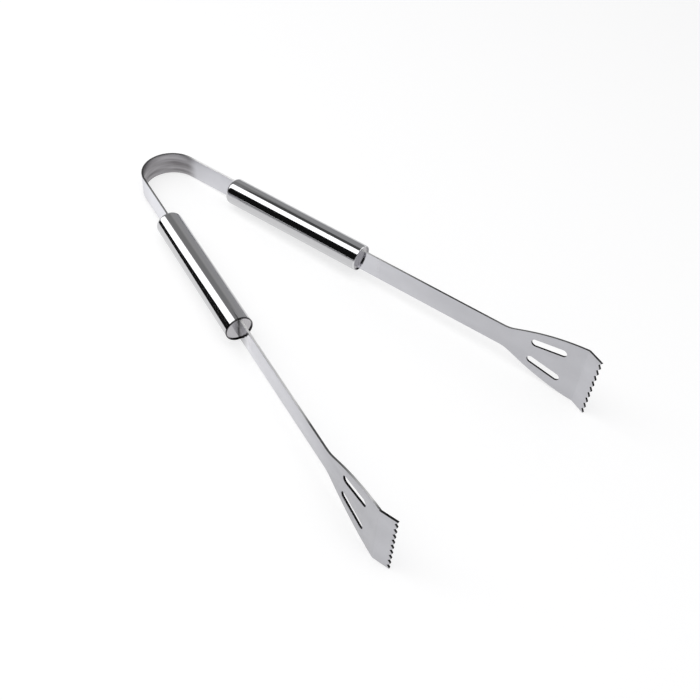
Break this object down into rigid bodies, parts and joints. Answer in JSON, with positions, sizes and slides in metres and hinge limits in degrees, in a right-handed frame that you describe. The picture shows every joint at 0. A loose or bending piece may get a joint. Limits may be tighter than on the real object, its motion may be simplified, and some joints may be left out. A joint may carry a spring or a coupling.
{
  "type": "spring loaded kitchen tongs",
  "caption": "Long steel tongs: a bent spring strip joins tube-handled arms that end in slotted, toothed blades.",
  "frame": {"origin": "centre of the object's box, at the height of its lowest edge", "axes": "+X from the bow to the tips, +Y towards the left arm, +Z along the width of the strips, up when the tongs lie on their side"},
  "size_m": [0.3622, 0.1886, 0.0504],
  "materials": {
    "spring": "satin",
    "blades": "satin",
    "handles": "mirror polished",
    "rivets": "plain"
  },
  "bodies": {
    "left_arm": {"spring_bow": "spring", "left_blade": "blades", "left_handle_tube": "handles", "left_end_cap": "handles", "left_handle_disc": "handles", "left_front_rivet": "rivets", "left_rear_rivet": "rivets"},
    "right_arm": {"right_blade": "blades", "right_handle_tube": "handles", "right_end_cap": "handles", "right_handle_disc": "handles", "right_front_rivet": "rivets", "right_rear_rivet": "rivets"}
  },
  "joints": [
    {"name": "squeeze", "type": "hinge", "parent": "left_arm", "child": "right_arm", "pos_m": [-0.15832, 0, 0.0252], "axis": [0, 0, 1], "range_deg": [-6, 29.7], "stiffness_Nm_per_rad": 7.5, "deforming": ["spring_bow"]}
  ]
}
